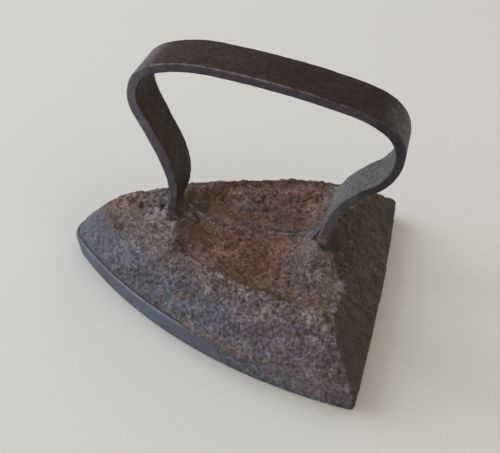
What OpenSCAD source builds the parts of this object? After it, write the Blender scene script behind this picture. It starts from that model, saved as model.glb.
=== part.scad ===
// Solid sad iron with a flat bar handle.
// X runs from heel to toe, Y across, Z up. The sole rests on Z = 0.
// Sizes are in millimetres.

/* [Sole plate] */
// heel to toe, measured along the middle
sole_length = 147.5; // [110:0.5:200]
// across the heel, the widest place
sole_width = 112; // [80:1:150]
// height of the smooth band round the edge
sole_thickness = 12; // [6:0.5:20]
// radius of the toe in plan
toe_radius = 11; // [5:0.5:18]
// radius of the two heel corners in plan
heel_corner_radius = 2.2; // [1:0.1:10]
// how far the middle of the heel stands out from its corners
heel_bow = 1.6; // [0.5:0.1:6]

/* [Body] */
// table to the rim of the top, at the front foot
body_height = 34; // [26:0.5:48]
// how much lower the rim is at the heel
rim_fall = 1.8; // [0:0.1:5]
// how much lower the rim is at the toe
toe_fall = 2.4; // [0:0.1:6]
// step from the edge of the sole to the foot of the sloping side
side_ledge = 0.9; // [0.5:0.1:4]
// the same step at the heel
heel_ledge = 0.4; // [0.2:0.1:3]
// depth of the groove at the seam between sole and body
seam_groove = 0.5; // [0:0.1:2]
// edge of the sole to the rim of the top, along the sides
rim_inset = 17.5; // [10:0.5:26]
// heel of the sole to the rim of the top
heel_inset = 14; // [8:0.5:24]
// radius of the rim at the toe, in plan
rim_toe_radius = 3; // [1:0.5:8]
// radius of the rim at the heel corners, in plan
rim_corner_radius = 2; // [1:0.1:8]
// swell of the sloping sides
side_swell = 0.5; // [0:0.1:2]
// depth of the two hollows in the top
dish_depth = 4.8; // [0:0.1:7]
// rise of the rib between the hollows, from foot to foot
middle_rib = 3; // [0:0.1:5]
// rise of the lump that holds the front foot
front_lump = 1.9; // [0:0.1:4]
// rise of the ridge that holds the rear foot
rear_ridge = 1.6; // [0:0.1:4]
// web of metal that climbs the front of the rear foot
rear_web = 2.6; // [0:0.1:4]
// fall of the top and its rim behind the rear foot
heel_drop = 4.6; // [0:0.1:7]

/* [Handle] */
// table to the top of the grip
handle_height = 112.7; // [90:0.5:150]
// width of the flat bar
bar_width = 18; // [12:0.5:26]
// thickness of the flat bar at the grip
bar_thickness = 3.6; // [2.5:0.1:6]
// thickness of the legs, where the bar was drawn in
leg_thickness = 4.4; // [2.5:0.1:7]
// thickness of the bar round its bends
bend_thickness = 3.9; // [2.5:0.1:7]
// front foot, forward of the middle of the sole
front_foot_x = 18.7; // [8:0.1:30]
// rear foot, behind the middle of the sole
rear_foot_x = -47.3; // [-56:0.1:-40]
// front bend, furthest forward reach of the bar
front_reach = 26.3; // [18:0.1:40]
// rear bend, furthest back reach of the bar
rear_reach = -74.8; // [-85:0.1:-60]

/* [Handle joint] */
// width of the tang that goes into the body
tang_width = 11; // [6:0.5:14]
// thickness of the tang
tang_thickness = 4; // [2.5:0.1:6]
// growth of the riveted end, each side
rivet_spread = 2.4; // [1:0.1:4]
// height of the riveted end
rivet_height = 4; // [2:0.1:8]
// play between the tang and its mortise, each side
mortise_play = 0.15; // [0.05:0.01:0.4]

/* [Hidden] */
$fn = 96;

// plan of the sole: two side arcs, a heel arc, a toe arc and two corner arcs
half_width = sole_width / 2;
heel_x = -sole_length / 2 + heel_bow;
toe_span = sole_length - heel_bow - toe_radius;
side_radius = (toe_span ^ 2 + half_width ^ 2 - toe_radius ^ 2) / (sole_width - 2 * toe_radius);
side_off = side_radius - half_width;
heel_radius = (half_width ^ 2 + heel_bow ^ 2) / (2 * heel_bow);
heel_centre_x = heel_x - heel_bow + heel_radius;

// centre of an arc of radius r lying inside both side arcs, these drawn in by inset
function toe_centre(inset, r) = heel_x + sqrt((side_radius - inset - r) ^ 2 - side_off ^ 2);

// centre of an arc of radius r lying inside the left side arc and the heel arc
function corner_centre(inset, heel_in, r) =
    let (a = [heel_x, -side_off])
    let (b = [heel_centre_x, 0])
    let (ra = side_radius - inset - r)
    let (rb = heel_radius - heel_in - r)
    let (gap = norm(b - a))
    let (u = (b - a) / gap)
    let (along = (gap ^ 2 + ra ^ 2 - rb ^ 2) / (2 * gap))
    let (across = sqrt(ra ^ 2 - along ^ 2))
    a + along * u + across * [-u[1], u[0]];

function angle_of(v) = atan2(v[1], v[0]);
function on_arc(c, r, a) = c + r * [cos(a), sin(a)];

// n points from angle a0 towards a1, leaving out the last, where the next arc begins
function arc(c, r, a0, a1, n) = [for (i = [0:n - 1]) on_arc(c, r, a0 + (a1 - a0) * i / n)];

// left half of the plan, from the middle of the heel to the toe
function half_plan(inset, heel_in, toe_r, corner_r) =
    let (cc = corner_centre(inset, heel_in, corner_r))
    let (tc = [toe_centre(inset, toe_r), 0])
    let (sc = [heel_x, -side_off])
    let (hc = [heel_centre_x, 0])
    let (a_heel = angle_of(cc - hc))
    let (a_side = angle_of(cc - sc))
    let (a_toe = angle_of(tc - sc))
    concat(
        arc(hc, heel_radius - heel_in, 180, a_heel, 10),
        arc(cc, corner_r, a_heel, a_side, 6),
        arc(sc, side_radius - inset, a_side, a_toe, 30),
        arc(tc, toe_r, a_toe, 0, 8),
        [tc + [toe_r, 0]]
    );

// whole plan: the left half, then its mirror image back to the heel
function mirror_half(h) = [for (i = [len(h) - 2:-1:1]) [h[i][0], -h[i][1]]];
function full_plan(h) = concat(h, mirror_half(h));

module sole_plate() {
    color([0.36, 0.36, 0.40])
        linear_extrude(sole_thickness)
            polygon(full_plan(half_plan(0, 0, toe_radius, heel_corner_radius)));
}

// soft step from 0 at a to 1 at b
function ease(a, b, v) =
    let (t = min(1, max(0, (v - a) / (b - a))))
    t * t * (3 - 2 * t);

// fall behind the rear foot, full in the middle and less at the corners
function heel_fall(x, y) =
    heel_drop * ease(rear_foot_x - 3, rear_foot_x - 13, x) * (1 - 0.7 * ease(18, 40, abs(y)));

// height of the rim round the iron
toe_rim_x = toe_centre(rim_inset, rim_toe_radius) + rim_toe_radius;
function rim_z(x, y) =
    let (back = max(0, front_foot_x - x) / (front_foot_x - rear_foot_x))
    let (ahead = max(0, x - front_foot_x) / (toe_rim_x - front_foot_x))
    body_height - rim_fall * back - toe_fall * ahead ^ 2 - heel_fall(x, y);

// height of the top inside the rim; in_by is 0 at the rim and 1 on the middle line
function top_z(x, y, in_by) =
    let (front_end = front_foot_x - 3 - 7 * (abs(y) / 24) ^ 1.5)
    let (rear_end = rear_foot_x + 3 - 4 * (abs(y) / 30) ^ 2)
    let (hollow = ease(rear_end, rear_end + 8, x) * (1 - ease(front_end - 6, front_end, x)))
    let (lump = front_lump * exp(-((x - front_foot_x) ^ 2 + y ^ 2) / 110))
    let (ridge = rear_ridge * exp(-((x - rear_foot_x) / 5) ^ 2) * exp(-(y / 22) ^ 2))
    let (bed = dish_depth * ease(0, 0.4, in_by) - middle_rib * ease(0.58, 0.94, in_by))
    let (web = rear_web * exp(-((x - rear_foot_x - 4) ^ 2 + y ^ 2) / 22))
    rim_z(x, y) - bed * hollow + lump + ridge + web;

// one ring of the body: the plan drawn in by a share of the way from its foot to the rim
function side_ring(part, grow) =
    let (inset = side_ledge + part * (rim_inset - side_ledge))
    let (heel_in = heel_ledge + part * (heel_inset - heel_ledge))
    let (toe_r = toe_radius - part * (toe_radius - rim_toe_radius))
    let (corner_r = heel_corner_radius - part * (heel_corner_radius - rim_corner_radius))
    full_plan(half_plan(inset - grow, heel_in - grow, toe_r, corner_r));

rim_plan = side_ring(1, 0);
function spine(p) = [min(front_foot_x + 18, max(rear_foot_x + 2, p[0])), 0];
function inner_ring(in_by) = [for (p = rim_plan) p * (1 - in_by) + spine(p) * in_by];

// rise of the side at a share of the way from its foot to the rim
function side_z(p, part) = sole_thickness + part * (rim_z(p[0], p[1]) - sole_thickness);

// shares of the way up the side, and then in from the rim, where rings are drawn
SIDE_PARTS = [0.05, 0.25, 0.5, 0.75, 0.92];
INNER_PARTS = [0.06, 0.12, 0.2, 0.28, 0.38, 0.5, 0.62, 0.74, 0.85, 0.94];

// the body before its mortises are cut: rings from the seam up the sides and in over the top
module block() {
    foot = [for (p = side_ring(0, -seam_groove)) [p[0], p[1], sole_thickness]];
    sides = [
        for (s = SIDE_PARTS)
            [for (p = side_ring(s, side_swell * sin(180 * s))) [p[0], p[1], side_z(p, s)]]
    ];
    rim = [for (p = rim_plan) [p[0], p[1], rim_z(p[0], p[1]) - 0.3]];
    inner = [
        for (s = INNER_PARTS)
            [for (p = inner_ring(s)) [p[0], p[1], top_z(p[0], p[1], s)]]
    ];
    rings = concat([foot], sides, [rim], inner);
    count = len(foot);
    half = count / 2;
    last = len(rings) - 1;
    points = [for (r = rings) each r];
    walls = [
        for (k = [0:last - 1])
            for (i = [0:count - 1])
                let (a = k * count + i)
                let (b = k * count + (i + 1) % count)
                each [[a, b, a + count], [b, b + count, a + count]]
    ];
    cap = [
        for (i = [0:half - 1])
            let (a = last * count + i)
            let (b = last * count + i + 1)
            let (c = last * count + (count - i - 1) % count)
            let (d = last * count + (count - i) % count)
            each (i == 0 ? [[a, b, c]] : i == half - 1 ? [[a, b, d]] : [[a, b, d], [b, c, d]])
    ];
    floor_face = [[for (i = [count - 1:-1:0]) i]];
    polyhedron(points, concat(floor_face, walls, cap), convexity = 6);
}

// outline of a tang from one side, flared at its riveted end
// half is half its size, play grows it all round, below carries the flare past the seam
function tang_outline(half, play, top, below) =
    let (side = half + play)
    let (spread = rivet_spread * (1 + below / rivet_height))
    [
        [-side, top],
        [-side, sole_thickness + rivet_height],
        [-side - spread, sole_thickness - below],
        [side + spread, sole_thickness - below],
        [side, sole_thickness + rivet_height],
        [side, top]
    ];

// stands a side view up, spread across the iron
module across(width) {
    rotate([90, 0, 0])
        linear_extrude(width, center = true)
            children();
}

// stands a front view up, spread along the iron
module along(length) {
    rotate([90, 0, 90])
        linear_extrude(length, center = true)
            children();
}

// hole for a tang, right through the body
module mortise(x) {
    over_top = body_height + 8;
    intersection() {
        translate([x, 0, 0])
            across(bar_width * 2)
                polygon(tang_outline(tang_thickness / 2, mortise_play, over_top, 1));
        along(sole_length * 2)
            polygon(tang_outline(tang_width / 2, mortise_play, over_top, 1));
    }
}

module iron_body() {
    color([0.38, 0.31, 0.29])
        difference() {
            block();
            mortise(front_foot_x);
            mortise(rear_foot_x);
        }
}

// the bar stands straight from foot_z, inside the mortise, until it is clear of the body
foot_depth = 4;
foot_z = body_height - foot_depth;
foot_run = foot_depth + front_lump + 0.7;
reach = front_reach - rear_reach;
rise = handle_height - bar_thickness / 2 - foot_z;
// a place on the middle line of the bar: share of the reach, share of the rise, thickness
function at(fx, fz, t) = [rear_reach + fx * reach, foot_z + fz * rise, t];

// middle line of the bar from the front foot over the grip to the rear foot
BAR_LINE = [
    [front_foot_x, foot_z - 8, tang_thickness],
    [front_foot_x, foot_z, tang_thickness],
    [front_foot_x, foot_z + foot_run, tang_thickness],
    [front_foot_x - 1.5, foot_z + foot_run + 0.08 * rise, tang_thickness],
    at(0.888, 0.230, bar_thickness),
    at(0.881, 0.345, leg_thickness),
    at(0.899, 0.480, leg_thickness + 0.3),
    at(0.942, 0.635, leg_thickness),
    at(0.973, 0.745, leg_thickness - 0.3),
    at(0.9805, 0.815, bend_thickness),
    at(0.965, 0.885, bend_thickness),
    at(0.926, 0.945, bend_thickness),
    at(0.850, 0.984, bar_thickness),
    at(0.735, 1, bar_thickness),
    at(0.600, 0.988, bar_thickness),
    at(0.440, 0.958, bar_thickness),
    at(0.280, 0.918, bar_thickness),
    at(0.160, 0.878, bar_thickness),
    at(0.083, 0.833, bend_thickness),
    at(0.034, 0.770, bend_thickness),
    at(0.018, 0.690, bend_thickness),
    at(0.029, 0.605, bar_thickness),
    at(0.066, 0.525, bar_thickness),
    at(0.130, 0.458, bar_thickness),
    at(0.190, 0.378, bar_thickness),
    at(0.231, 0.285, bar_thickness),
    at(0.255, 0.180, bar_thickness),
    [rear_foot_x - 0.9, foot_z + foot_run + 0.05 * rise, tang_thickness],
    [rear_foot_x, foot_z + foot_run, tang_thickness],
    [rear_foot_x, foot_z, tang_thickness],
    [rear_foot_x, foot_z - 8, tang_thickness]
];

// smooth curve through four places, a at u = 0 reaching b at u = 1
function blend(p, a, b, q, u) =
    0.5 * (2 * a + (b - p) * u + (2 * p - 5 * a + 4 * b - q) * u ^ 2 + (3 * a - p - 3 * b + q) * u ^ 3);
function lead(p, a, b, q, u) =
    0.5 * ((b - p) + 2 * (2 * p - 5 * a + 4 * b - q) * u + 3 * (3 * a - p - 3 * b + q) * u ^ 2);

BAR_STEPS = 4;
// points of one face of the bar: side is 1 for the outer face and -1 for the inner face
function bar_face(side) = [
    for (k = [1:len(BAR_LINE) - 3])
        for (s = [0:(k == len(BAR_LINE) - 3 ? BAR_STEPS : BAR_STEPS - 1)])
            let (u = s / BAR_STEPS)
            let (c = blend(BAR_LINE[k - 1], BAR_LINE[k], BAR_LINE[k + 1], BAR_LINE[k + 2], u))
            let (d = lead(BAR_LINE[k - 1], BAR_LINE[k], BAR_LINE[k + 1], BAR_LINE[k + 2], u))
            let (n = [d[1], -d[0]] / norm([d[0], d[1]]))
            [c[0], c[1]] + side * n * c[2] / 2
];

function flipped(list) = [for (i = [len(list) - 1:-1:0]) list[i]];

// front view of the bar: full width above, drawn in to the tang at the feet
draw_top = foot_z + 0.27 * rise;
draw_low = foot_z + foot_run + 0.5;
leg_half = bar_width / 2 - 0.7;
DRAW_IN = [for (i = [0:6]) [
    tang_width / 2 + (leg_half - tang_width / 2) * ease(0, 1, i / 6),
    draw_low + (draw_top - draw_low) * i / 6
]];
HALF_FRONT = concat(
    [[tang_width / 2 + rivet_spread, sole_thickness]],
    [[tang_width / 2, sole_thickness + rivet_height]],
    DRAW_IN,
    [[leg_half, foot_z + 0.6 * rise]],
    [[bar_width / 2, foot_z + 0.85 * rise]],
    [[bar_width / 2, handle_height + 5]]
);
FRONT_VIEW = concat(HALF_FRONT, flipped([for (p = HALF_FRONT) [-p[0], p[1]]]));

module handle_bow() {
    color([0.27, 0.25, 0.25])
        intersection() {
            across(bar_width * 2)
                union() {
                    polygon(concat(bar_face(1), flipped(bar_face(-1))));
                    for (x = [front_foot_x, rear_foot_x])
                        translate([x, 0])
                            polygon(tang_outline(tang_thickness / 2, 0, foot_z, 0));
                }
            along(sole_length * 2)
                polygon(FRONT_VIEW);
        }
}

sole_plate();
iron_body();
handle_bow();
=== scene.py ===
import math

import bmesh
import bpy
import numpy as np
from mathutils import Matrix, Vector


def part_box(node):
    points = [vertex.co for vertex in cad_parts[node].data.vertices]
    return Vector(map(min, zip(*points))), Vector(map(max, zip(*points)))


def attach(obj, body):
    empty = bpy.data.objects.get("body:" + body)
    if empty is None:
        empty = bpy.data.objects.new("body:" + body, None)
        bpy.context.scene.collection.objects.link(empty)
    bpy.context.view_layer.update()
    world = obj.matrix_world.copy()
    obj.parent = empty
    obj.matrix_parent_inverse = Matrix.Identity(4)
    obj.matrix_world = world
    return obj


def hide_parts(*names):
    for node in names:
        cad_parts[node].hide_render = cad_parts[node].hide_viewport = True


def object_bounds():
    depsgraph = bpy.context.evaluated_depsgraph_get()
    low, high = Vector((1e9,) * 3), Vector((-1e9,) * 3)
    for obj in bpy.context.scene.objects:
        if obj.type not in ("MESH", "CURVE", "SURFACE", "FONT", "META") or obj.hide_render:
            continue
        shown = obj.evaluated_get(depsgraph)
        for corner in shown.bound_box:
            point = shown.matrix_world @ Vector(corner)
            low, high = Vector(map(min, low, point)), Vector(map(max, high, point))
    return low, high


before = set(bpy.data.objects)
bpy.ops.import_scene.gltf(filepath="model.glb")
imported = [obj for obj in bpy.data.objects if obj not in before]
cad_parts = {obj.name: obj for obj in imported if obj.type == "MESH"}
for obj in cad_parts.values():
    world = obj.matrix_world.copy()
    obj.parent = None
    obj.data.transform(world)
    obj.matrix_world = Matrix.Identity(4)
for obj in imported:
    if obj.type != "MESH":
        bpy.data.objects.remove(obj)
cad_low, cad_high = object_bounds()

# Sizes are in millimetres unless a comment says otherwise; meshes are made in metres.
MM = 0.001

# Places on the iron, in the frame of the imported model
SOLE_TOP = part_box("sole_plate")[1].z / MM
GRIP_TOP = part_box("handle_bow")[1].z / MM
FRONT_FOOT_X = 18.7
REAR_FOOT_X = -47.3
RIM_Z = 33.5


# Noise made from seeded lattices, evaluated at points in millimetres

LATTICE = 256
LATTICE_MASK = LATTICE - 1
LATTICE_SHIFT = 64
LUMP_GAIN = 1.6
CRUST_SEEDS = (7, 8, 9)
CRUST_WARP = 0.5
CRUST_WARP_SIZE = 1.5
CRUST_GAIN = 2.2
CRUST_LEVEL = 0.6


def ease(low, high, value):
    """Soft step from 0 at low to 1 at high, which may be the smaller."""
    t = np.clip((value - low) / (high - low), 0, 1)
    return t * t * (3 - 2 * t)


def window(start, full, last, end, value):
    """Soft window: rises from start to full and falls from last to end."""
    return ease(start, full, value) * ease(end, last, value)


def lumps(points, size, seed):
    """Gradient noise of about -1 to 1, with lumps about size across."""
    rng = np.random.default_rng(seed)
    order = rng.permutation(LATTICE)
    slopes = rng.normal(size=(LATTICE, 3))
    slopes /= np.linalg.norm(slopes, axis=1)[:, None]
    q = points / size + rng.uniform(0, LATTICE_SHIFT, 3)
    cell = np.floor(q).astype(int)
    part = q - cell
    fade = part**3 * (part * (part * 6 - 15) + 10)
    total = np.zeros(len(points))
    for corner in np.ndindex(2, 2, 2):
        x, y, z = ((cell + corner) & LATTICE_MASK).T
        pick = order[(order[(order[x] + y) & LATTICE_MASK] + z) & LATTICE_MASK]
        weight = np.prod(np.where(corner, fade, 1 - fade), axis=1)
        total += weight * np.einsum("ij,ij->i", slopes[pick], part - corner)
    return total * LUMP_GAIN


def uneven(points, mean, change, size, seed):
    """A value that wanders about its mean."""
    return mean + change * lumps(points, size, seed)


def fractal(points, size, seed, octaves=3, gain=0.55):
    """Lumps with finer lumps on them."""
    return sum(lumps(points, size / 2**k, seed + k) * gain**k for k in range(octaves))


def crust(points, size, seed):
    """Scaly lumps of about -1 to 1: rounded tops with creases between them."""
    warp = [lumps(points, size * CRUST_WARP_SIZE, seed + k) for k in CRUST_SEEDS]
    warped = points + size * CRUST_WARP * np.stack(warp, axis=1)
    return CRUST_GAIN * np.abs(lumps(warped, size, seed)) - CRUST_LEVEL


def bump(points, centre, radius):
    """Round hill of height 1 at a place on the plan."""
    away = np.linalg.norm(points[:, :2] - np.array(centre), axis=1)
    return np.exp(-((away / radius) ** 2))


def spots(points, places):
    """Round hills of height 1 at several places, each given with its radius."""
    return sum(bump(points, place, radius) for place, radius in places)


def hills(points, places):
    """Round hills at several places, each given with its radius and height."""
    return sum(height * bump(points, place, radius) for place, radius, height in places)


def along_line(points, line):
    """Distance across the plan from a line through listed places."""
    best = np.full(len(points), np.inf)
    for a, b in zip(line[:-1], line[1:]):
        a, b = np.array(a, float), np.array(b, float)
        span = b - a
        t = np.clip((points[:, :2] - a) @ span / (span @ span), 0, 1)
        best = np.minimum(best, np.linalg.norm(points[:, :2] - a - t[:, None] * span, axis=1))
    return best


def ribbon(points, line, width):
    """Rounded ridge of height 1 along a line on the plan."""
    return np.exp(-((along_line(points, line) / width) ** 2))


# Dense meshes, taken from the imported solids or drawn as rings

# a painted relief of 0.5 is level
RELIEF_LEVEL = 0.5
RELIEF_SPREAD = 0.2


def new_object(name, data):
    """A new object in the scene."""
    made = bpy.data.objects.new(name, data)
    bpy.context.scene.collection.objects.link(made)
    return made


def dense_copy(node, name, voxel, smoothing, fillings=()):
    """A finely and evenly meshed copy of a CAD node, with its edges softened.

    Fillings are boxes of metal, as lowest and highest corners, that become part of the copy."""
    shape = bmesh.new()
    shape.from_mesh(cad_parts[node].data)
    for low, high in fillings:
        low, high = Vector(low) * MM, Vector(high) * MM
        box = Matrix.Translation((low + high) / 2) @ Matrix.Diagonal((*(high - low), 1))
        bmesh.ops.create_cube(shape, size=1, matrix=box)
    piece = new_object(name, bpy.data.meshes.new(name))
    shape.to_mesh(piece.data)
    shape.free()
    remesh = piece.modifiers.new("Even mesh", "REMESH")
    remesh.mode = "VOXEL"
    remesh.voxel_size = voxel * MM
    soften = piece.modifiers.new("Soft edges", "SMOOTH")
    soften.factor = 0.5
    soften.iterations = smoothing
    ready = piece.evaluated_get(bpy.context.evaluated_depsgraph_get())
    mesh = bpy.data.meshes.new_from_object(ready)
    piece.modifiers.clear()
    piece.data = mesh
    mesh.materials.clear()
    mesh.shade_smooth()
    return piece


def ring_mesh(name, rows):
    """A closed mesh through rows of points, each row a closed ring; both end rings are filled."""
    count = rows.shape[1]
    start = np.arange(len(rows) - 1)[:, None] * count
    here = np.arange(count)[None, :]
    after = (here + 1) % count
    corners = [start + here, start + after, start + count + after, start + count + here]
    quads = np.stack(corners, axis=2).reshape(-1, 4).tolist()
    ends = [list(range(count)), list(range((len(rows) - 1) * count, len(rows) * count))]
    mesh = bpy.data.meshes.new(name)
    mesh.from_pydata((rows.reshape(-1, 3) * MM).tolist(), [], quads + ends)
    shape = bmesh.new()
    shape.from_mesh(mesh)
    bmesh.ops.recalc_face_normals(shape, faces=shape.faces)
    shape.to_mesh(mesh)
    shape.free()
    mesh.shade_smooth()
    return new_object(name, mesh)


def evenly(line, step, closed=False):
    """Points along a line at even distances of about step."""
    line = np.vstack([line, line[:1]]) if closed else line
    run = np.concatenate([[0], np.cumsum(np.linalg.norm(np.diff(line[:, :2], axis=0), axis=1))])
    at = np.linspace(0, run[-1], int(run[-1] / step) + 1)
    at = at[:-1] if closed else at
    return np.stack([np.interp(at, run, column) for column in line.T], axis=1)


def read_points(piece, what):
    """The places or the normals of a piece's points."""
    values = np.empty(len(piece.data.vertices) * 3, np.float32)
    piece.data.vertices.foreach_get(what, values)
    return values.reshape(-1, 3).astype(float)


def move_points(piece, points):
    """Sets a piece's points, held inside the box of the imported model."""
    inside = np.clip(points * MM, np.array(cad_low), np.array(cad_high))
    piece.data.vertices.foreach_set("co", inside.astype(np.float32).ravel())
    piece.data.update()


def relaxed(piece, values, rounds):
    """Values at a mesh's points, each averaged with its neighbours a number of times."""
    edges = np.empty(len(piece.data.edges) * 2, np.int32)
    piece.data.edges.foreach_get("vertices", edges)
    a, b = edges.reshape(-1, 2).T
    size = len(values)
    count = np.bincount(edges, minlength=size)[:, None]
    for _ in range(rounds):
        sums = [np.bincount(a, v[b], size) + np.bincount(b, v[a], size) for v in values.T]
        values = 0.5 * values + 0.5 * np.stack(sums, axis=1) / np.maximum(count, 1)
    return values


def paint(piece, name, values):
    """Stores a value of 0 to 1 at each point, for the piece's material to read."""
    layer = piece.data.attributes.new(name, "FLOAT", "POINT")
    layer.data.foreach_set("value", np.clip(values, 0, 1).astype(np.float32))


def paint_relief(piece, points, rounds):
    """Stores how far each point stands out from its surroundings."""
    normal = read_points(piece, "normal")
    out = np.einsum("ij,ij->i", points - relaxed(piece, points, rounds), normal)
    paint(piece, "relief", RELIEF_LEVEL + RELIEF_SPREAD * out / out.std())


def settle(piece, node, material):
    """Hands a finished piece to the frame in place of its CAD node."""
    piece.data.materials.append(material)
    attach(piece, "root")
    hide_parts(node)


# Procedural materials


class Shader:
    """A material's node graph, with short calls for the nodes used here."""

    # sockets of the mix node when it mixes colours
    SHARE, FIRST, SECOND, RESULT = 0, 6, 7, 2

    def __init__(self, name):
        self.material = bpy.data.materials.new(name)
        self.material.use_nodes = True
        self.tree = self.material.node_tree
        self.surface = self.tree.nodes["Principled BSDF"]
        self.place = self.tree.nodes.new("ShaderNodeTexCoord").outputs["Object"]

    def node(self, kind, inputs=(), **settings):
        made = self.tree.nodes.new(kind)
        for key, value in settings.items():
            setattr(made, key, value)
        for key, value in dict(inputs).items():
            self.feed(made.inputs[key], value)
        return made

    def feed(self, socket, value):
        if isinstance(value, bpy.types.NodeSocket):
            self.tree.links.new(value, socket)
        else:
            socket.default_value = value

    def noise(self, size, seed, detail, stretch=(1, 1, 1)):
        """Noise of about 0 to 1 with spots about size across, drawn out by stretch."""
        scale = [1 / (size * MM * s) for s in stretch]
        mapping = {"Vector": self.place, "Scale": scale, "Location": [seed] * 3}
        place = self.node("ShaderNodeMapping", mapping).outputs[0]
        made = self.node("ShaderNodeTexNoise", {"Vector": place, "Scale": 1.0, "Detail": detail})
        return made.outputs["Fac"]

    def painted(self, name):
        return self.node("ShaderNodeAttribute", attribute_name=name).outputs["Fac"]

    def spread(self, value, low, high, to_low=0.0, to_high=1.0):
        """Value carried softly from low..high to to_low..to_high."""
        ranges = {"Value": value, "From Min": low, "From Max": high, "To Min": to_low, "To Max": to_high}
        return self.node("ShaderNodeMapRange", ranges, interpolation_type="SMOOTHSTEP").outputs["Result"]

    def product(self, a, b):
        return self.node("ShaderNodeMath", {0: a, 1: b}, operation="MULTIPLY").outputs[0]

    def total(self, a, b):
        return self.node("ShaderNodeMath", {0: a, 1: b}, operation="ADD").outputs[0]

    def where(self, name, value, *ranges):
        """A painted share, broken up by the spread of a value."""
        return self.product(self.painted(name), self.spread(value, *ranges))

    def shade(self, colour, factor):
        made = self.node("ShaderNodeVectorMath", {"Scale": factor}, operation="SCALE")
        self.feed(made.inputs[0], colour)
        return made.outputs[0]

    def mix(self, share, a, b):
        made = self.node("ShaderNodeMix", data_type="RGBA")
        self.feed(made.inputs[self.SHARE], share)
        for socket, colour in ((made.inputs[self.FIRST], a), (made.inputs[self.SECOND], b)):
            self.feed(socket, colour if isinstance(colour, bpy.types.NodeSocket) else (*colour, 1))
        return made.outputs[self.RESULT]

    def finish(self, colour, roughness, height, bump_size, specular):
        self.feed(self.surface.inputs["Base Color"], colour)
        self.feed(self.surface.inputs["Roughness"], roughness)
        self.surface.inputs["Specular IOR Level"].default_value = specular
        bumps = {"Height": height, "Distance": bump_size * MM, "Strength": 1.0}
        relief = self.node("ShaderNodeBump", bumps)
        self.feed(self.surface.inputs["Normal"], relief.outputs["Normal"])
        return self.material


# Colours, as linear shares of red, green and blue
BLUE_GREY = (0.094, 0.108, 0.148)
STEEL_BLUE = (0.088, 0.114, 0.172)
NAVY = (0.069, 0.077, 0.124)
PALE_BLUE = (0.150, 0.165, 0.198)
# painted shadow colour: along the seam and where the handle's feet meet the body
PAINTED_SHADOW_DARK = (0.034, 0.028, 0.030)
BAND_PURPLE = (0.062, 0.054, 0.074)
PURPLE = (0.100, 0.088, 0.120)
LILAC = (0.205, 0.178, 0.195)
RIM_BROWN = (0.118, 0.088, 0.084)
RIM_PINK = (0.126, 0.096, 0.104)
BEIGE = (0.148, 0.136, 0.140)
SHOULDER_LILAC = (0.122, 0.102, 0.114)
OCHRE = (0.070, 0.047, 0.024)
UMBER = (0.112, 0.058, 0.037)
RED_RUST = (0.155, 0.080, 0.063)
RUST = (0.150, 0.090, 0.081)
ORANGE_RUST = (0.160, 0.102, 0.084)
HOLLOW_RUST = (0.100, 0.060, 0.045)
# dark rust, also the colour of painted shade
DARK_RUST_AND_SHADE = (0.052, 0.028, 0.019)
# heel browns, dark enough to carry painted shade
HEEL_BROWN = (0.054, 0.043, 0.035)
HEEL_DARK = (0.032, 0.024, 0.019)
PIT_DARK = (0.022, 0.016, 0.014)
PIT_PURPLE = (0.047, 0.035, 0.043)
STRAP_BROWN = (0.0215, 0.0104, 0.0100)
STRAP_BLACK = (0.0150, 0.0074, 0.0090)
STRAP_OLIVE = (0.082, 0.090, 0.088)
STRAP_UMBER = (0.033, 0.025, 0.021)
STRAP_GREY = (0.143, 0.146, 0.174)
STRAP_VIOLET = (0.050, 0.043, 0.060)
STRAP_LILAC = (0.108, 0.104, 0.134)
STRAP_NAVY = (0.032, 0.031, 0.049)
STRAP_SAGE = (0.132, 0.146, 0.138)
FLOOR_COLOUR = (0.575, 0.590, 0.602)
SPECK_COLOUR = (0.40, 0.34, 0.26)


def side_colour(s):
    """Rough sides of body and plate: purple, blue-grey where painted, beige and red-brown in patches."""
    cool = s.where("blue", s.noise(11, 2.7, detail=3), 0.30, 0.64, 0.45, 0.9)
    colour = s.mix(cool, PURPLE, BLUE_GREY)
    colour = s.mix(s.spread(s.noise(8, 6.1, detail=4), 0.48, 0.70, 0.0, 0.5), colour, BEIGE)
    return s.mix(s.spread(s.noise(6, 7.7, detail=4), 0.50, 0.72, 0.0, 0.28), colour, RUST)


# Amounts in the body's material
CALM_SHARE = 0.7
GRAIN_HEIGHT = 0.6
SPECK_HEIGHT = 0.35


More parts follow.
